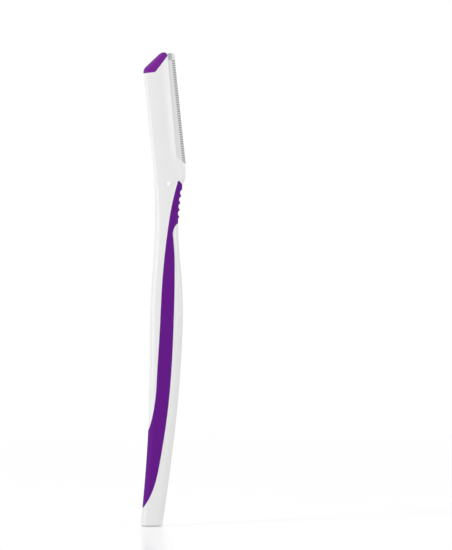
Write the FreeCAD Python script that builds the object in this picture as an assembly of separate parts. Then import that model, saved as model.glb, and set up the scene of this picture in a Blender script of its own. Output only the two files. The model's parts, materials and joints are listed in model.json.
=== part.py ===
import FreeCAD, Part
import math
import os

Vector = FreeCAD.Vector
ACROSS = Vector(1, 0, 0)
DEPTH = Vector(0, 1, 0)
UP = Vector(0, 0, 1)
ORIGIN = Vector(0, 0, 0)

# Frame: millimetres, Z up, X towards the blade, the pip faces -Y.
# The pieces are built from the centre of the foot and moved so that the origin is where
# finger and thumb pinch the neck.
# The head has its own frame: u runs up along the blade, v runs across from the spine edge.

# Handle: a long slab with rounded edges, and above it the neck that thins towards the head
handle_length = 115.4
handle_width = 10.4
handle_thickness = 4.6
edge_radius = 1.7
foot_chamfer = 0.35

# spine and front edge of the slab and of the neck: share of the length up, shares of the width
slab_shares = ((0.0, -0.348, 0.306), (0.23, -0.139, 0.653), (0.4, -0.08, 0.84),
               (0.6, -0.049, 0.933), (0.83, 0.085, 0.7915))
neck_shares = ((0.8405, 0.087, 0.7915), (0.844, 0.0875, 0.822), (0.885, 0.091, 0.856),
               (0.921, 0.08, 0.913), (0.9324, 0.072, 0.918), (0.9393, 0.068, 0.955),
               (0.9463, 0.064, 1.0), (0.9515, 0.062, 1.0145))

# Head: a flat plate leaning back from the neck, with a window for the strip in its front edge
head_lean = 5.9
head_shift = 0.16
head_length = 33.45
head_width = 10.5
head_thickness = 3.4
head_edge_radius = 1.1
chin_drop = 4.2
chin_setback = 0.38
diagonal_angle = 47.0
window_foot = 0.5
window_corner_radius = 0.4
strip_show_foot = 2.82
strip_show_end = 2.4
top_slant = 37.5
top_flat = 1.98
top_bend_radius = 2.25
shoulder_radius = 2.3

# Tip cap, moulded over a tongue of the core
cap_depth = 5.9
cap_base_slope = 1.2
cap_base_width = 3.8
cap_corner_radius = 0.9
cap_skin = 0.85
cap_post_radius = 0.7

# Soft grip, moulded over the core
grip_skin = 1.2
grip_post_radius = 1.0
# left edge, right edge, curl below the pad and top, as shares of handle length and width
grip_left_shares = ((0.243, -0.23), (0.322, 0.058), (0.455, 0.179), (0.748, 0.392), (0.9395, 0.776))
grip_right_shares = ((0.039, -0.404), (0.087, -0.028), (0.166, 0.22), (0.364, 0.534),
                     (0.622, 0.68), (0.789, 0.647))
curl_shares = ((0.8165, 0.681), (0.8276, 0.769))
pad_exit_share = 0.8285
grip_top_shares = ((0.9437, 0.799), (0.9415, 0.855))
grip_exit_shares = (0.926, 0.98)
post_shares = (0.3, 0.65)

# Thumb pad: a row of hollows along the front edge, with narrow ridges left between them
hollow_count = 4
hollow_pitch = 2.16
hollow_radius = 1.2
hollow_depth = 0.46
pad_top_drop = 10.26

# Pip on the front face, the catch of a slip-on cover
pip_radius = 0.8
pip_rise = 0.4
pip_drop = 7.45
pip_from_spine = 4.7

# Blade strip
strip_foot_drop = 2.9
strip_end_drop = 0.45
strip_corner_radius = 1.2
blade_width = 6.2
blade_thickness = 0.25
bevel_width = 0.9
edge_land = 0.03
edge_gap = 0.15
tang_wall = 0.8
side_gap = 0.05

# Guard folded round the edge of the blade
foil_thickness = 0.09
foil_width = 5.2
fold_flank_share = 0.6
fold_tip_share = 0.4
slot_pitch = 0.73
slot_width = 0.36
slot_length = 1.3
slot_margin_foot = 1.0
slot_margin_notch = 0.12
notch_edge = 1.1
notch_depth = 2.2
notch_corner_radius = 0.45

# Posts of the core that go through the blade and the guard
rivet_radius = 0.6
rivet_depth = 4.1
rivet_count = 2
rivet_margin = 4.0

# how far cutters pass the outside, and the smallest difference that counts
overrun = 3.0
hair = 1e-7

lean = math.radians(head_lean)
tan_diagonal = math.tan(math.radians(diagonal_angle))
stack_thickness = blade_thickness + 2 * foil_thickness
strip_foot = -strip_foot_drop
strip_end = head_length - strip_end_drop
cap_base = head_length - cap_depth


def head_point(u, v, y=0):
    """Place of a point of the head's frame."""
    x = head_shift + v * math.cos(lean) - u * math.sin(lean)
    z = handle_length + v * math.sin(lean) + u * math.cos(lean)
    return Vector(x, y, z)


def place_head(shape):
    """Turn and move a shape built with u along Z and v along X to its place in the head."""
    placed = shape.copy()
    placed.rotate(ORIGIN, DEPTH, -head_lean)
    placed.translate(head_point(0, 0))
    return placed


def handle_point(shares):
    up, across = shares
    return Vector(handle_width * across, 0, handle_length * up)


def line(start, end):
    return Part.LineSegment(start, end).toShape()


def prism(wire, half_depth):
    """Solid of a flat wire in the XZ plane, reaching half_depth to each side."""
    face = Part.Face(wire)
    face.translate(DEPTH * -half_depth)
    return face.extrude(DEPTH * (2 * half_depth))


def rounded_polygon(corners):
    """Closed wire through corners given as (x, z, radius)."""
    places = [Vector(x, 0, z) for x, z, radius in corners]
    radii = [radius for x, z, radius in corners]
    starts, ends, arcs = [], [], []
    for i, place in enumerate(places):
        back = (places[i - 1] - place).normalize()
        ahead = (places[(i + 1) % len(places)] - place).normalize()
        half = back.getAngle(ahead) / 2
        reach = radii[i] / math.tan(half)
        starts.append(place + back * reach)
        ends.append(place + ahead * reach)
        middle = (back + ahead).normalize() * (radii[i] / math.sin(half) - radii[i])
        arcs.append(place + middle)
    edges = []
    for i in range(len(places)):
        if radii[i] > 0:
            edges.append(Part.Arc(starts[i], arcs[i], ends[i]).toShape())
        edges.append(line(ends[i], starts[(i + 1) % len(places)]))
    return Part.Wire(edges)


def chin_section():
    """Ends of the handle's last section, on the spine edge and on the chin."""
    return head_point(-chin_drop, 0), head_point(-chin_drop, head_width - chin_setback)


def edge_points(side):
    """Points up the spine edge (side 1) or the front edge (side 2) of the handle."""
    points = [handle_point((row[0], row[side])) for row in slab_shares + neck_shares]
    return points + [chin_section()[side - 1]]


def edge_at(side, height):
    """Point of the spine edge (side 1) or the front edge (side 2) at a height."""
    points = edge_points(side)
    for low, high in zip(points, points[1:]):
        if low.z <= height <= high.z:
            return low + (high - low) * ((height - low.z) / (high.z - low.z))


def arc_from(start, way, end):
    """Arc that leaves its start in the direction way."""
    chord = end - start
    aside = way - chord * (way.dot(chord) / chord.dot(chord))
    if aside.Length < hair:
        return line(start, end)
    rise = chord.Length / 2 * math.tan(way.getAngle(chord) / 2)
    return Part.Arc(start, start + chord / 2 + aside.normalize() * rise, end).toShape()


def way_at_end(way, chord):
    """Direction at the end of an arc that starts off along way and spans chord."""
    return chord * (2 * way.dot(chord) / chord.dot(chord)) - way


def smooth_arcs(points, last=None):
    """Tangent arcs through points, two to a span, that may end in a given direction."""
    ways = [(points[1] - points[0]) * 3 - (points[2] - points[1])]
    ways += [points[i + 1] - points[i - 1] for i in range(1, len(points) - 1)]
    ways.append(last or (points[-1] - points[-2]) * 3 - (points[-2] - points[-3]))
    ways = [way.normalize() for way in ways]
    edges = []
    for start, end, first, last in zip(points, points[1:], ways, ways[1:]):
        span, both = end - start, first + last
        along, slack = span.dot(both), 2 * (1 - first.dot(last))
        reach = span.dot(span) / (2 * along)
        if slack > hair:
            reach = (math.sqrt(along ** 2 + slack * span.dot(span)) - along) / slack
        joint = (start + end + (first - last) * reach) / 2
        edges.append(arc_from(start, first, joint))
        edges.append(arc_from(joint, way_at_end(first, joint - start), end))
    return edges


def handle_slab():
    """The handle from the foot to the neck, rounded along its four long edges."""
    spine = [handle_point((row[0], row[1])) for row in slab_shares]
    front = [handle_point((row[0], row[2])) for row in slab_shares]
    edges = [line(spine[0], front[0])] + smooth_arcs(front, UP) + [line(front[-1], spine[-1])]
    slab = prism(Part.Wire(edges + smooth_arcs(spine, UP)[::-1]), handle_thickness / 2)
    rim = [e for e in slab.Edges if e.BoundBox.ZLength > edge_radius]
    slab = slab.makeFillet(edge_radius, rim)
    foot = [e for e in slab.Edges if e.BoundBox.ZMax < foot_chamfer / 2]
    return slab.makeChamfer(foot_chamfer, foot)


def rounded_section(left, right, half, radius):
    """Rounded rectangle through two points of the XZ plane, half deep to each side."""
    width = (right - left).Length
    wire = rounded_polygon([(0, -half, radius), (width, -half, radius),
                            (width, half, radius), (0, half, radius)])
    wire.Placement = FreeCAD.Placement(left, FreeCAD.Rotation(right - left, ORIGIN, DEPTH, "XZY"))
    return wire


def neck():
    """The stretch from the slab to the chin, thinning to the head's thickness."""
    rows = slab_shares[-1:] + neck_shares
    low, high = rows[0][0], rows[-1][0]
    wires = []
    for row in rows:
        share = (row[0] - low) / (high - low)
        ease = share * share * (3 - 2 * share)
        half = (handle_thickness + (head_thickness - handle_thickness) * ease) / 2
        radius = edge_radius + (head_edge_radius - edge_radius) * ease
        left, right = handle_point((row[0], row[1])), handle_point((row[0], row[2]))
        wires.append(rounded_section(left, right, half, radius))
    left, right = chin_section()
    wires.append(rounded_section(left, right, head_thickness / 2, head_edge_radius))
    return Part.makeLoft(wires, True, True)


def web():
    """Inner part of handle and neck, a skin below the outside, that the grip goes round."""
    spine = [p + ACROSS * grip_skin for p in edge_points(1)]
    front = [p - ACROSS * grip_skin for p in edge_points(2)]
    wire = Part.makePolygon(spine + front[::-1] + spine[:1])
    return prism(wire, handle_thickness / 2 - grip_skin)


def window_line(u):
    """v of the core's front edge beside the strip."""
    show = strip_show_foot + (strip_show_end - strip_show_foot) * u / strip_end
    return head_width - show


def head_corners(inset=0):
    """Corners of the head from the chin round to the shoulder, as (v, u, radius)."""
    top = head_length - inset
    chin = head_width - chin_setback - inset
    corner = window_line(window_foot) - inset
    slant = math.radians(top_slant)
    end = window_line(head_length)
    shoulder = head_length - (end - top_flat) * math.tan(slant)
    shoulder += inset * math.tan(slant) - inset / math.cos(slant)
    bend = inset + (top - shoulder) / math.tan(slant)
    return [(inset, -chin_drop, 0),
            (chin, -chin_drop, 0),
            (chin, window_foot - (chin - corner) * tan_diagonal, 0),
            (corner, window_foot, window_corner_radius),
            (end - inset, top, head_edge_radius),
            (bend, top, top_bend_radius),
            (inset, shoulder, shoulder_radius)]


def head_body():
    """The head's plate: rounded along its outside, and cut off square at the window."""
    half = head_thickness / 2
    spine_foot, chin_foot, chin_top, corner, end, bend, shoulder = head_corners()
    outer_top = (chin_foot[0], head_length, 0)
    plate = prism(rounded_polygon([spine_foot, chin_foot, outer_top, bend, shoulder]), half)
    rim = [e for e in plate.Edges if abs(e.CenterOfMass.y) > half / 2
           and e.BoundBox.ZMax > -chin_drop + head_edge_radius / 2]
    rim += [e for e in plate.Edges if (e.CenterOfMass - Vector(chin_foot[0], 0, head_length)).Length < hair]
    plate = plate.makeFillet(head_edge_radius, rim)
    return place_head(plate.common(prism(rounded_polygon(head_corners()), half)))


def hollow_height(i):
    """Height of a hollow of the thumb pad, counted down from the top one."""
    return handle_length - pad_top_drop - i * hollow_pitch


def hollows():
    """Cutters of the thumb pad's hollows."""
    cutters = []
    for i in range(hollow_count):
        edge = edge_at(2, hollow_height(i))
        centre = edge + ACROSS * (hollow_radius - hollow_depth) - DEPTH * handle_thickness
        cutters.append(Part.makeCylinder(hollow_radius, 2 * handle_thickness, centre, DEPTH))
    return joined(cutters)


def joined(shapes):
    return shapes[0].multiFuse(shapes[1:])


def envelope():
    """Outer form of core, grip and tip together."""
    return joined([handle_slab(), neck(), head_body()]).removeSplitter().cut(hollows())


def grip_edge(shares):
    """One long edge of the soft grip as a wire of arcs."""
    return Part.Wire(smooth_arcs([handle_point(p) for p in shares]))


def grip_form():
    """Outline of the soft grip, cut right through the depth."""
    left, right = handle_point(grip_left_shares[0]), handle_point(grip_right_shares[0])
    left_end, right_end = handle_point(grip_left_shares[-1]), handle_point(grip_right_shares[-1])
    curl_middle, curl_end = [handle_point(p) for p in curl_shares]
    top_middle, top_end = [handle_point(p) for p in grip_top_shares]
    grip_exit = handle_point(grip_exit_shares)
    reach = 2 * handle_width
    pad_exit = Vector(reach, 0, handle_length * pad_exit_share)
    far_exit = Vector(reach, 0, grip_exit.z)
    left_far, right_far = Vector(-reach, 0, left.z), Vector(-reach, 0, right.z)
    edges = grip_edge(grip_left_shares).Edges + grip_edge(grip_right_shares).Edges
    edges += [Part.Arc(left_end, top_middle, top_end).toShape(),
              Part.Arc(right_end, curl_middle, curl_end).toShape(),
              line(top_end, grip_exit), line(grip_exit, far_exit), line(far_exit, pad_exit),
              line(pad_exit, curl_end), line(right, right_far), line(right_far, left_far),
              line(left_far, left)]
    return prism(Part.Wire(Part.__sortEdges__(edges)), handle_thickness)


def grip_posts():
    """Posts of the soft material through the web of the core."""
    form, posts = grip_form(), []
    for share in post_shares:
        height = handle_length * share
        inner = edge_at(1, height) + ACROSS * grip_skin
        across = line(inner, inner + ACROSS * handle_width).common(form).BoundBox
        start = Vector(across.Center.x, -handle_thickness / 2 + grip_skin / 2, height)
        posts.append(Part.makeCylinder(grip_post_radius, handle_thickness - grip_skin, start, DEPTH))
    return posts


def grip_overmould(outer):
    skin = outer.common(grip_form()).cut(web())
    return skin.multiFuse(grip_posts()).removeSplitter()


def cap_form():
    """Region of the tip above its level edge and its diagonal."""
    right = head_width + overrun
    left_drop = (cap_base_width + overrun) * math.tan(math.radians(cap_base_slope))
    corners = [(-overrun, cap_base - left_drop, 0),
               (cap_base_width, cap_base, cap_corner_radius),
               (right, cap_base + (right - cap_base_width) * tan_diagonal, 0),
               (right, 2 * head_length, 0),
               (-overrun, 2 * head_length, 0)]
    return place_head(prism(rounded_polygon(corners), handle_thickness))


def cap_post():
    u = cap_base + 2 * cap_post_radius
    start = head_point(u, cap_base_width - cap_post_radius, -head_thickness / 2 + cap_skin / 2)
    return Part.makeCylinder(cap_post_radius, head_thickness - cap_skin, start, DEPTH)


def tip_cap(outer):
    corners = [(v, u, 0) for v, u, radius in head_corners(cap_skin)]
    tongue = place_head(prism(rounded_polygon(corners), head_thickness / 2 - cap_skin))
    return outer.common(cap_form()).cut(tongue).fuse(cap_post()).removeSplitter()


def strip_outline(back, reach):
    """Flat outline of a strip in the head: hidden tang, diagonal above it, rounded front corners."""
    front = head_width - reach
    corner = strip_corner_radius - reach
    wall = tang_wall / math.cos(math.radians(diagonal_angle))
    side = window_line(strip_end) + side_gap
    tang_top = cap_base + (back - cap_base_width) * tan_diagonal - wall
    side_top = cap_base + (side - cap_base_width) * tan_diagonal - wall
    corners = [(back, strip_foot, 0),
               (front, strip_foot, corner),
               (front, strip_end, corner),
               (side, strip_end, 0),
               (side, side_top, 0),
               (back, tang_top, 0)]
    return rounded_polygon(corners)


def strip_bar(corners):
    """Bar along u whose section is given as (v, y) corners."""
    points = [Vector(v, y, 2 * strip_foot) for v, y in corners]
    wire = Part.makePolygon(points + points[:1])
    return Part.Face(wire).extrude(Vector(0, 0, strip_end - 3 * strip_foot))


def folded_bar(half, back, front):
    """Bar along u with a flat back and a folded front edge."""
    flank = front - half * fold_flank_share
    tip = half * fold_tip_share
    return strip_bar([(back, -half), (flank, -half), (front, -tip),
                      (front, tip), (flank, half), (back, half)])


def rivets(half):
    """Posts through blade and guard, spread along the hidden tang."""
    v = head_width - rivet_depth
    run = strip_end - 2 * rivet_margin - strip_foot
    posts = []
    for i in range(rivet_count):
        u = strip_foot + rivet_margin + run * i / (rivet_count - 1)
        posts.append(Part.makeCylinder(rivet_radius, 2 * half, Vector(v, -half, u), DEPTH))
    return posts


def blade_strip():
    half = blade_thickness / 2
    reach = foil_thickness + edge_gap
    tip = head_width - reach
    back = head_width - blade_width
    section = [(back, -half), (tip - bevel_width, -half), (tip, -edge_land / 2),
               (tip, edge_land / 2), (tip - bevel_width, half), (back, half)]
    outline = prism(strip_outline(back, reach), handle_thickness)
    return strip_bar(section).common(outline).cut(joined(rivets(blade_thickness)))


def slots():
    """Cutters of the row of slots across the fold."""
    first = strip_end - notch_depth - slot_margin_notch - slot_width
    count = int((first - strip_foot - slot_margin_foot) / slot_pitch) + 1
    cutters = []
    for i in range(count):
        u = first - i * slot_pitch
        corner = Vector(head_width - slot_length, -handle_thickness / 2, u)
        cutters.append(Part.makeBox(2 * slot_length, handle_thickness, slot_width, corner))
    return cutters


def notch():
    """Window at the top end of the guard that leaves the blade bare."""
    left = window_line(strip_end) + side_gap
    right = head_width - notch_edge
    corners = [(left, strip_end - notch_depth, notch_corner_radius),
               (right, strip_end - notch_depth, notch_corner_radius),
               (right, strip_end + overrun, 0),
               (left, strip_end + overrun, 0)]
    return prism(rounded_polygon(corners), handle_thickness)


def guard_foil():
    half = blade_thickness / 2
    back = head_width - foil_width
    outline = prism(strip_outline(back, 0), handle_thickness)
    outer = folded_bar(half + foil_thickness, back, head_width)
    inner = folded_bar(half, back - overrun, head_width - foil_thickness)
    foil = outer.cut(inner).common(outline)
    cutters = slots() + [notch()] + rivets(stack_thickness)
    return foil.cut(joined(cutters))


def strip_pocket():
    """Room in the core for blade and guard, with the posts left standing."""
    half = blade_thickness / 2
    back = head_width - blade_width
    foil_back = head_width - foil_width
    thin = folded_bar(half, back, head_width - foil_thickness)
    thin = thin.common(prism(strip_outline(back, 0), handle_thickness))
    thick = folded_bar(stack_thickness / 2, foil_back, head_width)
    thick = thick.common(prism(strip_outline(foil_back, 0), handle_thickness))
    return thin.fuse(thick).cut(joined(rivets(stack_thickness)))


def neck_face(x, height):
    """Where a line along the depth leaves the neck."""
    start = Vector(x, 0, height)
    return line(start, start + DEPTH * handle_thickness).common(neck()).Vertexes


def pip():
    """Ball segment that stands on the front face."""
    height = handle_length - pip_drop
    x = edge_at(1, height).x + pip_from_spine
    ball = (pip_radius ** 2 + pip_rise ** 2) / (2 * pip_rise)
    face = max(v.Point.y for v in neck_face(x, height))
    centre = Vector(x, -face - pip_rise + ball, height)
    return Part.makeSphere(ball, centre)


def handle_core(outer, grip, cap):
    core = outer.cut(grip).cut(cap).cut(place_head(strip_pocket()))
    return core.fuse(pip()).removeSplitter()


def pinch_point():
    """Middle of the neck between the thumb pad and the spine edge."""
    height = hollow_height((hollow_count - 1) / 2)
    return (edge_at(1, height) + edge_at(2, height)) / 2


def save(name, shape, origin):
    solids = shape.Solids
    part = solids[0].copy() if len(solids) == 1 else Part.makeCompound(solids)
    part.translate(-origin)
    part.exportStep("parts/" + name + ".step")
    print(name, "solids", len(solids), "valid", part.isValid(),
          "volume", round(part.Volume, 2), "faces", len(part.Faces))


def main():
    os.makedirs("parts", exist_ok=True)
    origin = pinch_point()
    print("pinch point above the foot", origin)
    outer = envelope()
    grip = grip_overmould(outer)
    cap = tip_cap(outer)
    save("handle_core", handle_core(outer, grip, cap), origin)
    save("grip_overmould", grip, origin)
    save("tip_cap", cap, origin)
    save("blade", place_head(blade_strip()), origin)
    save("guard_foil", place_head(guard_foil()), origin)


main()
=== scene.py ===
import json
import math

import bmesh
import bpy
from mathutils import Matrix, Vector
from mathutils.bvhtree import BVHTree
from mathutils.kdtree import KDTree


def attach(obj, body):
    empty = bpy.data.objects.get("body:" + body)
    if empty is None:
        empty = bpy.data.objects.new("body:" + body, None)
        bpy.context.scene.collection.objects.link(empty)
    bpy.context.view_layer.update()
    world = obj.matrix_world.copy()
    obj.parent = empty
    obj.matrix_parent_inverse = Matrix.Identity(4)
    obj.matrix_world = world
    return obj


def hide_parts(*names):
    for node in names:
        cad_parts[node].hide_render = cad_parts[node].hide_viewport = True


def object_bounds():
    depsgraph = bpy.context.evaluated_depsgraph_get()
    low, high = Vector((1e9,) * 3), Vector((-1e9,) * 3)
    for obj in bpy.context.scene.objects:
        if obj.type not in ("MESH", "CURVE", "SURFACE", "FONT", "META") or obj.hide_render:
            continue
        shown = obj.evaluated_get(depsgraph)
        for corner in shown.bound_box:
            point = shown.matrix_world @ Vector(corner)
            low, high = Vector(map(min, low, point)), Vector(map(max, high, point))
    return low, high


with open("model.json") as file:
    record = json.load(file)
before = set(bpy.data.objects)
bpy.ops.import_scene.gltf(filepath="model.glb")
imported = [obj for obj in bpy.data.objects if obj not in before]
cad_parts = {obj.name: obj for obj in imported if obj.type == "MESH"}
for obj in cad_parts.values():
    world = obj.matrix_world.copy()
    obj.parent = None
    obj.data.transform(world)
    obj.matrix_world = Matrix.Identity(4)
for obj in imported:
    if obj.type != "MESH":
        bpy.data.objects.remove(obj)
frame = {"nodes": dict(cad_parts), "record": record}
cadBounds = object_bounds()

mm = 0.001
mounts = {mount["name"]: mount for mount in frame["record"]["mounts"]}
footHeight = mounts["foot_face"]["pos_m"][2]
headTop = Vector(mounts["cover_seat"]["pos_m"])     # on the head's middle line, at its top end
headUp = Vector(mounts["cover_seat"]["axis"]).normalized()
headAcross = Vector((headUp.z, 0, -headUp.x))       # from the spine edge to the blade
headLean = math.atan2(headUp.x, headUp.z)


# Node helpers

def feed(tree, value, socket):     # a link from another node's socket, or a plain number
    if hasattr(value, "is_linked"):
        tree.links.new(value, socket)
    else:
        socket.default_value = value


def addNode(tree, kind, **settings):
    node = tree.nodes.new(kind)
    for key, value in settings.items():
        setattr(node, key, value)
    return node


def newGroup(name, inputs, outputs):
    group = bpy.data.node_groups.new(name, "ShaderNodeTree")
    for label in inputs:
        group.interface.new_socket(label, in_out="INPUT", socket_type="NodeSocketFloat")
    for label in outputs:
        group.interface.new_socket(label, in_out="OUTPUT", socket_type="NodeSocketFloat")
    return group, group.nodes.new("NodeGroupInput").outputs, group.nodes.new("NodeGroupOutput").inputs


def placeGroup(tree, group, values):
    node = addNode(tree, "ShaderNodeGroup", node_tree=group)
    for label, value in values.items():
        node.inputs[label].default_value = value
    return node.outputs


def combine(tree, operation, first, second=0):
    node = addNode(tree, "ShaderNodeMath", operation=operation)
    feed(tree, first, node.inputs[0])
    feed(tree, second, node.inputs[1])
    return node.outputs[0]


def mapRange(tree, value, low, high, toLow, toHigh):
    node = addNode(tree, "ShaderNodeMapRange")
    feed(tree, value, node.inputs["Value"])
    feed(tree, low, node.inputs["From Min"])
    feed(tree, high, node.inputs["From Max"])
    feed(tree, toLow, node.inputs["To Min"])
    feed(tree, toHigh, node.inputs["To Max"])
    return node.outputs["Result"]


def noise(tree, vector, look, scale=1):
    node = addNode(tree, "ShaderNodeTexNoise")
    tree.links.new(vector, node.inputs["Vector"])
    feed(tree, scale, node.inputs["Scale"])
    node.inputs["Detail"].default_value = look["detail"]
    node.inputs["Roughness"].default_value = look["roughness"]
    return node.outputs["Fac"]


def objectPlace(tree, scale=(1, 1, 1), lean=0.0):
    place = addNode(tree, "ShaderNodeTexCoord").outputs["Object"]
    node = addNode(tree, "ShaderNodeMapping")
    node.inputs["Rotation"].default_value = (0, lean, 0)
    node.inputs["Scale"].default_value = scale
    tree.links.new(place, node.inputs["Vector"])
    return node.outputs["Vector"]


# Effects that several finishes share

effects = {"grain": {"detail": 3, "roughness": 0.6},
           "flow": {"detail": 3, "roughness": 0.5, "stretch": (90, 90, 22)},     # marks along the handle
           "drawn": {"detail": 4, "roughness": 0.65, "stretch": (9000, 9000, 120)},
           "weakest": 0.3, "strongest": 0.7,     # the span of a noise that sets the roughness
           "partingLine": 0.05 * mm}             # half the line's width


def roughnessFrom(tree, pattern, given):
    return mapRange(tree, pattern, effects["weakest"], effects["strongest"], given["Low"], given["High"])


def makeMouldSkin():
    tree, given, out = newGroup("mouldSkin", ("Grain Scale", "Low", "High"), ("Roughness", "Height", "Cloud"))
    grain = noise(tree, objectPlace(tree), effects["grain"], given["Grain Scale"])
    flow = noise(tree, objectPlace(tree, effects["flow"]["stretch"]), effects["flow"])
    tree.links.new(grain, out["Height"])
    tree.links.new(flow, out["Cloud"])
    tree.links.new(roughnessFrom(tree, flow, given), out["Roughness"])
    return tree


def makePartingLine():
    tree, given, out = newGroup("partingLine", ("Half Width",), ("Mask",))
    place = addNode(tree, "ShaderNodeSeparateXYZ")
    tree.links.new(objectPlace(tree), place.inputs[0])
    depth = combine(tree, "ABSOLUTE", place.outputs["Y"])
    tree.links.new(mapRange(tree, depth, 0, given["Half Width"], 1, 0), out["Mask"])
    return tree


def makeDrawnSteel():
    tree, given, out = newGroup("drawnSteel", ("Low", "High"), ("Roughness", "Height", "Streak"))
    along = objectPlace(tree, effects["drawn"]["stretch"], -headLean)
    streak = noise(tree, along, effects["drawn"])
    tree.links.new(streak, out["Height"])
    tree.links.new(streak, out["Streak"])
    tree.links.new(roughnessFrom(tree, streak, given), out["Roughness"])
    return tree


mouldSkin = makeMouldSkin()
partingLine = makePartingLine()
drawnSteel = makeDrawnSteel()
print("shared effects ready")


# Materials

def startMaterial(name):
    material = bpy.data.materials.new(name)
    material.use_nodes = True
    tree = material.node_tree
    return material, tree, tree.nodes["Principled BSDF"].inputs


def blendColours(tree, look, factor, target):
    mix = addNode(tree, "ShaderNodeMix", data_type="RGBA")
    mix.inputs["A"].default_value = (*look["dark"], 1)
    mix.inputs["B"].default_value = (*look["light"], 1)
    tree.links.new(factor, mix.inputs["Factor"])
    tree.links.new(mix.outputs["Result"], target)


def overlayColour(tree, colour, mask, target):     # returns where the colour under it goes
    mix = addNode(tree, "ShaderNodeMix", data_type="RGBA")
    mix.inputs["B"].default_value = (*colour, 1)
    tree.links.new(mask, mix.inputs["Factor"])
    tree.links.new(mix.outputs["Result"], target)
    return mix.inputs["A"]


def bumpFrom(tree, look, height, target):
    bump = addNode(tree, "ShaderNodeBump")
    bump.inputs["Strength"].default_value = look["bump"]
    bump.inputs["Distance"].default_value = look["depth"]
    tree.links.new(height, bump.inputs["Height"])
    tree.links.new(bump.outputs["Normal"], target)


def pipHighlightMask(tree, pip):     # 1 on the small pip of the front face, where a whiter colour is painted as its highlight
    place = addNode(tree, "ShaderNodeSeparateXYZ")
    tree.links.new(objectPlace(tree), place.inputs[0])
    across = combine(tree, "SUBTRACT", place.outputs["X"], pip["fromOrigin"])
    up = combine(tree, "SUBTRACT", place.outputs["Z"], footHeight + pip["aboveFoot"])
    square = combine(tree, "ADD", combine(tree, "POWER", across, 2), combine(tree, "POWER", up, 2))
    away = combine(tree, "SQRT", square)
    disc = mapRange(tree, away, pip["radius"], pip["radius"] - pip["soft"], 0, 1)
    return combine(tree, "MULTIPLY", disc, combine(tree, "LESS_THAN", place.outputs["Y"], 0))


def mouldedMaterial(look):
    material, tree, shader = startMaterial(look["finish"])
    values = {"Grain Scale": look["grain"], "Low": look["low"], "High": look["high"]}
    skin = placeGroup(tree, mouldSkin, values)
    parting = placeGroup(tree, partingLine, {"Half Width": effects["partingLine"]})
    height = combine(tree, "ADD", skin["Height"], combine(tree, "MULTIPLY", parting["Mask"], look["line"]))
    under = shader["Base Color"]
    # painted highlight: a whiter disc on the pip of the front face
    if "pip" in look:
        under = overlayColour(tree, look["pip"]["light"], pipHighlightMask(tree, look["pip"]), under)
    blendColours(tree, look, skin["Cloud"], under)
    tree.links.new(skin["Roughness"], shader["Roughness"])
    bumpFrom(tree, look, height, shader["Normal"])
    shader["Specular IOR Level"].default_value = look["specular"]
    return material


def acrossHead(tree):     # distance from the head's middle line towards the blade
    place = addNode(tree, "ShaderNodeVectorMath", operation="SUBTRACT")
    tree.links.new(objectPlace(tree), place.inputs[0])
    place.inputs[1].default_value = headTop
    across = addNode(tree, "ShaderNodeVectorMath", operation="DOT_PRODUCT")
    tree.links.new(place.outputs["Vector"], across.inputs[0])
    across.inputs[1].default_value = headAcross
    return across.outputs["Value"]


def steelMaterial(look):
    material, tree, shader = startMaterial(look["finish"])
    steel = placeGroup(tree, drawnSteel, {"Low": look["low"], "High": look["high"]})
    under = shader["Base Color"]
    if "ground" in look:      # the blade's bevel, which the guard's slots show, darkened as painted shade for the slots
        bevel = mapRange(tree, acrossHead(tree), look["groundFrom"], look["groundTo"], 0, 1)
        under = overlayColour(tree, look["ground"], bevel, under)
    blendColours(tree, look, steel["Streak"], under)
    tree.links.new(steel["Roughness"], shader["Roughness"])
    bumpFrom(tree, look, steel["Height"], shader["Normal"])
    shader["Metallic"].default_value = 1.0
    return material


# Moulded pieces: merged copies of the frame's solids, their faces rolled off towards the outline

rollOff = {"drop": 0.55 * mm, "reach": 4.5 * mm, "coreDepth": 0.4 * mm, "faceDepth": 1.5 * mm,
           "rayDepth": -1 * mm, "rayStep": 0.2 * mm, "cutAcross": 0.8 * mm, "cutUp": 3 * mm}
mouldedNodes = ("handle_core", "grip_overmould", "tip_cap")
meshCare = {"shadeAngle": math.radians(35), "merge": 0.0005 * mm, "thin": 0.002 * mm,
            "flatAngle": math.radians(0.4)}


def middles(low, high, step):     # the middles of equal steps from low to high
    count = int((high - low) / step)
    return [low + (high - low) * (i + 0.5) / count for i in range(count)]


def mouldedOutline():     # where rays from both sides and from above meet the plastic, as flat points
    mesh = bmesh.new()
    for node in mouldedNodes:
        mesh.from_mesh(frame["nodes"][node].data)
    solids = BVHTree.FromBMesh(mesh)
    mesh.free()
    (left, _, foot), (right, _, top) = cadBounds
    away = top - foot
    y = rollOff["rayDepth"]
    rays = [((x, y, away), (0, 0, -1)) for x in middles(left, right, rollOff["rayStep"])]
    for z in middles(foot, top, rollOff["rayStep"]):
        rays += [((-away, y, z), (1, 0, 0)), ((away, y, z), (-1, 0, 0))]
    met = [solids.ray_cast(Vector(start), Vector(way))[0] for start, way in rays]
    met = [place for place in met if place]
    points = KDTree(len(met))
    for i, place in enumerate(met):
        points.insert((place.x, 0, place.z), i)
    points.balance()
    return points


def smoothStep(value, low, high):
    share = min(1.0, max(0.0, (value - low) / (high - low)))
    return share * share * (3 - 2 * share)


def cutAt(mesh, place, normal):
    geometry = mesh.verts[:] + mesh.edges[:] + mesh.faces[:]
    bmesh.ops.bisect_plane(mesh, geom=geometry, dist=meshCare["merge"], plane_co=place, plane_no=normal)


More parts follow.
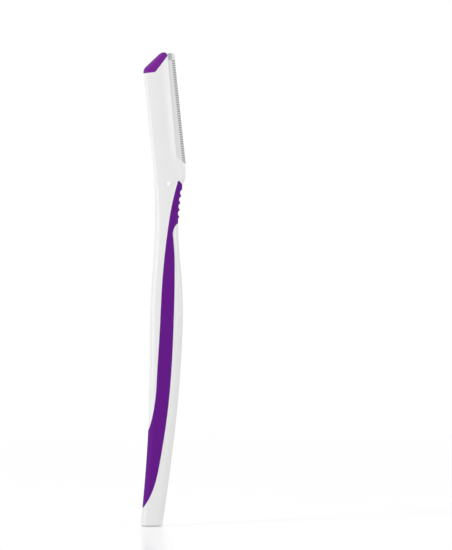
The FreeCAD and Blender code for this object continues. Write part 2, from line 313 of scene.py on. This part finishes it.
def rollFaces(mesh):
    (left, _, foot), (right, _, top) = cadBounds
    for x in middles(left, right, rollOff["cutAcross"]):
        cutAt(mesh, (x, 0, 0), (1, 0, 0))
    for z in middles(foot, top, rollOff["cutUp"]):
        cutAt(mesh, (0, 0, z), (0, 0, 1))
    for vert in mesh.verts:
        inwards = outline.find((vert.co.x, 0, vert.co.z))[2]
        rise = max(0, 1 - inwards / rollOff["reach"]) ** 2
        depth = smoothStep(abs(vert.co.y), rollOff["coreDepth"], rollOff["faceDepth"])
        vert.co.y -= math.copysign(rollOff["drop"] * rise * depth, vert.co.y)


def cleanTriangles(mesh):     # thin slivers would carry the wall's shading onto the faces
    bmesh.ops.triangulate(mesh, faces=mesh.faces)
    bmesh.ops.dissolve_degenerate(mesh, dist=meshCare["thin"], edges=mesh.edges)
    bmesh.ops.triangulate(mesh, faces=mesh.faces)
    for face in mesh.faces:
        face.smooth = True


def finishShading(piece):
    stored = piece.data.attributes.get("custom_normal")     # the frame's own, out of date after the roll
    if stored:
        piece.data.attributes.remove(stored)
    piece.data.set_sharp_from_angle(angle=meshCare["shadeAngle"])
    normals = piece.modifiers.new("faceNormals", "WEIGHTED_NORMAL")
    normals.keep_sharp = True


def mouldedPiece(look):
    mesh = bmesh.new()
    mesh.from_mesh(frame["nodes"][look["node"]].data)
    bmesh.ops.remove_doubles(mesh, verts=mesh.verts, dist=meshCare["merge"])
    bmesh.ops.dissolve_limit(mesh, angle_limit=meshCare["flatAngle"], verts=mesh.verts, edges=mesh.edges)
    rollFaces(mesh)
    cleanTriangles(mesh)
    data = bpy.data.meshes.new(look["name"])
    mesh.to_mesh(data)
    mesh.free()
    piece = bpy.data.objects.new(look["name"], data)
    bpy.context.scene.collection.objects.link(piece)
    data.materials.append(mouldedMaterial(look))
    finishShading(piece)
    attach(piece, "root")
    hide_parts(look["node"])
    print("moulded", look["name"], "faces", len(data.polygons))


outline = mouldedOutline()

handleCore = {"name": "handleCore", "node": "handle_core", "slot": "white_plastic", "finish": "whitePlastic",
              "light": (0.80, 0.80, 0.795), "dark": (0.775, 0.78, 0.775), "grain": 1800, "bump": 0.02,
              "depth": 0.01 * mm, "low": 0.20, "high": 0.26, "specular": 0.5, "line": 0.35,
              "pip": {"light": (0.93, 0.93, 0.925), "radius": 0.75 * mm, "soft": 0.25 * mm,
                      "aboveFoot": 107.95 * mm, "fromOrigin": 0.515 * mm}}     # a painted highlight: the pip's disc is whiter than the plastic round it
mouldedPiece(handleCore)

gripOvermould = {"name": "gripOvermould", "node": "grip_overmould", "slot": "purple_soft_grip",
                 "finish": "purpleGrip", "light": (0.126, 0.005, 0.236), "dark": (0.113, 0.003, 0.221),
                 "grain": 5200, "bump": 0.16, "depth": 0.02 * mm, "low": 0.50, "high": 0.60,
                 "specular": 0.12, "line": 0.2}
mouldedPiece(gripOvermould)

tipCap = {"name": "tipCap", "node": "tip_cap", "slot": "purple_tip", "finish": "purpleTip",
          "light": (0.185, 0.009, 0.283), "dark": (0.172, 0.007, 0.266), "grain": 3600, "bump": 0.06,
          "depth": 0.012 * mm, "low": 0.22, "high": 0.28, "specular": 0.2, "line": 0.3}
mouldedPiece(tipCap)


# Steel strip: the frame's own solids, with a drawn finish, and the blade's bevel painted dark as shade

def steelPiece(look):
    data = frame["nodes"][look["node"]].data
    material = steelMaterial(look)
    for i in range(len(data.materials)):
        data.materials[i] = material
    print("finished", look["node"])


blade = {"node": "blade", "finish": "bladeSteel", "light": (0.46, 0.48, 0.475), "dark": (0.40, 0.42, 0.415),
         "bump": 0.12, "depth": 0.004 * mm, "low": 0.22, "high": 0.34,
         # the bevel's dark colour is painted shade, for the shade inside the guard's slots
         "ground": (0.14, 0.145, 0.148), "groundFrom": 4.05 * mm, "groundTo": 4.2 * mm}
steelPiece(blade)

guardFoil = {"node": "guard_foil", "finish": "guardSteel", "light": (0.685, 0.695, 0.69),
             "dark": (0.625, 0.635, 0.63), "bump": 0.10, "depth": 0.004 * mm, "low": 0.30, "high": 0.42}
steelPiece(guardFoil)


# Floor and sky, which the camera and reflections see as white further out

studio = {"floorRadius": 3.0, "floorSides": 96, "floorColour": (0.80, 0.80, 0.80), "floorRoughness": 0.6,
          "floorGloss": 0.30, "glossRoughness": 0.22, "floorGlow": 0.195,
          "floorGap": 0.16 * mm,                    # below the foot, for the dark line under it
          "poolInner": 0.10, "poolOuter": 0.45,     # radii between which the floor turns white
          "skyFill": 0.67}


def seenDirectly(tree):     # 1 for the camera, reflections and what shows through glass, 0 for the light
    light = addNode(tree, "ShaderNodeLightPath").outputs
    mirrored = combine(tree, "MAXIMUM", light["Is Glossy Ray"], light["Is Transmission Ray"])
    return combine(tree, "MAXIMUM", light["Is Camera Ray"], mirrored)


def mixShaders(tree, share, first, second):
    node = addNode(tree, "ShaderNodeMixShader")
    feed(tree, share, node.inputs["Fac"])
    tree.links.new(first, node.inputs[1])
    tree.links.new(second, node.inputs[2])
    return node.outputs[0]


def floorMaterial():
    material, tree, shader = startMaterial("paleFloor")
    shader["Base Color"].default_value = (*studio["floorColour"], 1)
    shader["Roughness"].default_value = studio["floorRoughness"]
    plain = tree.nodes["Principled BSDF"].outputs["BSDF"]
    gloss = addNode(tree, "ShaderNodeBsdfGlossy")
    gloss.inputs["Color"].default_value = (1, 1, 1, 1)
    gloss.inputs["Roughness"].default_value = studio["glossRoughness"]
    glow = addNode(tree, "ShaderNodeEmission")
    glow.inputs["Strength"].default_value = studio["floorGlow"]
    near = addNode(tree, "ShaderNodeAddShader")
    tree.links.new(mixShaders(tree, studio["floorGloss"], plain, gloss.outputs[0]), near.inputs[0])
    tree.links.new(glow.outputs[0], near.inputs[1])
    white = addNode(tree, "ShaderNodeEmission")
    distance = addNode(tree, "ShaderNodeVectorMath", operation="LENGTH")
    tree.links.new(objectPlace(tree, (1, 1, 0)), distance.inputs[0])
    far = mapRange(tree, distance.outputs["Value"], studio["poolInner"], studio["poolOuter"], 0, 1)
    seen = mixShaders(tree, far, near.outputs[0], white.outputs[0])
    final = mixShaders(tree, seenDirectly(tree), plain, seen)
    tree.links.new(final, tree.nodes["Material Output"].inputs["Surface"])
    return material


def makeFloor():
    mesh = bmesh.new()
    bmesh.ops.create_circle(mesh, cap_ends=True, segments=studio["floorSides"], radius=studio["floorRadius"])
    bmesh.ops.translate(mesh, verts=mesh.verts, vec=(0, 0, footHeight - studio["floorGap"]))
    data = bpy.data.meshes.new("floor")
    mesh.to_mesh(data)
    mesh.free()
    data.materials.append(floorMaterial())
    floor = bpy.data.objects.new("floor", data)
    bpy.context.scene.collection.objects.link(floor)


def makeSky():
    world = bpy.data.worlds.new("studioSky")
    world.use_nodes = True
    tree = world.node_tree
    sky = tree.nodes["Background"].inputs
    sky["Color"].default_value = (1, 1, 1, 1)
    tree.links.new(mapRange(tree, seenDirectly(tree), 0, 1, studio["skyFill"], 1), sky["Strength"])
    bpy.context.scene.world = world


makeFloor()
makeSky()


# Lamps: five tall strips from low down, and one small square panel from the upper left

lamps = {"away": 0.9, "strip": (0.1, 0.4), "panel": (0.15, 0.15),
         "leftFront": {"azimuth": -30, "elevation": 6, "shape": "strip", "watts": 0.51},
         "leftSide": {"azimuth": -60, "elevation": 6, "shape": "strip", "watts": 1.28},
         "leftEdge": {"azimuth": -75, "elevation": 6, "shape": "strip", "watts": 0.56},
         "rightFront": {"azimuth": 22, "elevation": 6, "shape": "strip", "watts": 0.58},
         "rightSide": {"azimuth": 75, "elevation": 6, "shape": "strip", "watts": 1.37},
         "topLeft": {"azimuth": -60, "elevation": 50, "shape": "panel", "watts": 1.0}}


def makeLamp(name):
    look = lamps[name]
    data = bpy.data.lights.new(name, "AREA")
    data.shape = "RECTANGLE"
    data.size, data.size_y = lamps[look["shape"]]
    data.energy = look["watts"]
    turn = math.radians(look["azimuth"])
    rise = math.radians(look["elevation"])
    towards = Vector((math.sin(turn) * math.cos(rise), -math.cos(turn) * math.cos(rise), math.sin(rise)))
    lamp = bpy.data.objects.new(name, data)
    lamp.location = towards * lamps["away"]
    lamp.rotation_mode = "QUATERNION"
    lamp.rotation_quaternion = towards.to_track_quat("Z", "Y")
    bpy.context.scene.collection.objects.link(lamp)


for lampName in ("leftFront", "leftSide", "leftEdge", "rightFront", "rightSide", "topLeft"):
    makeLamp(lampName)
bpy.context.scene.view_settings.view_transform = "Standard"
print("studio ready")


# Camera: a long lens a little above level, with the razor left of the middle of its view

camera = {"lens": 300, "sensor": 36, "frameHeight": 173.45 * mm, "aim": (18.4 * mm, 0, -22.65 * mm),
          "elevation": 2.0}


def makeCamera():
    data = bpy.data.cameras.new("camera")
    data.lens = camera["lens"]
    data.sensor_width = camera["sensor"]
    tilt = math.radians(camera["elevation"])
    forward = Vector((0, math.cos(tilt), -math.sin(tilt)))
    eye = bpy.data.objects.new("camera", data)
    eye.location = Vector(camera["aim"]) - forward * (camera["frameHeight"] * data.lens / data.sensor_width)
    eye.rotation_mode = "QUATERNION"
    eye.rotation_quaternion = forward.to_track_quat("-Z", "Y")
    bpy.context.scene.collection.objects.link(eye)
    bpy.context.scene.camera = eye
    print("camera ready")


makeCamera()
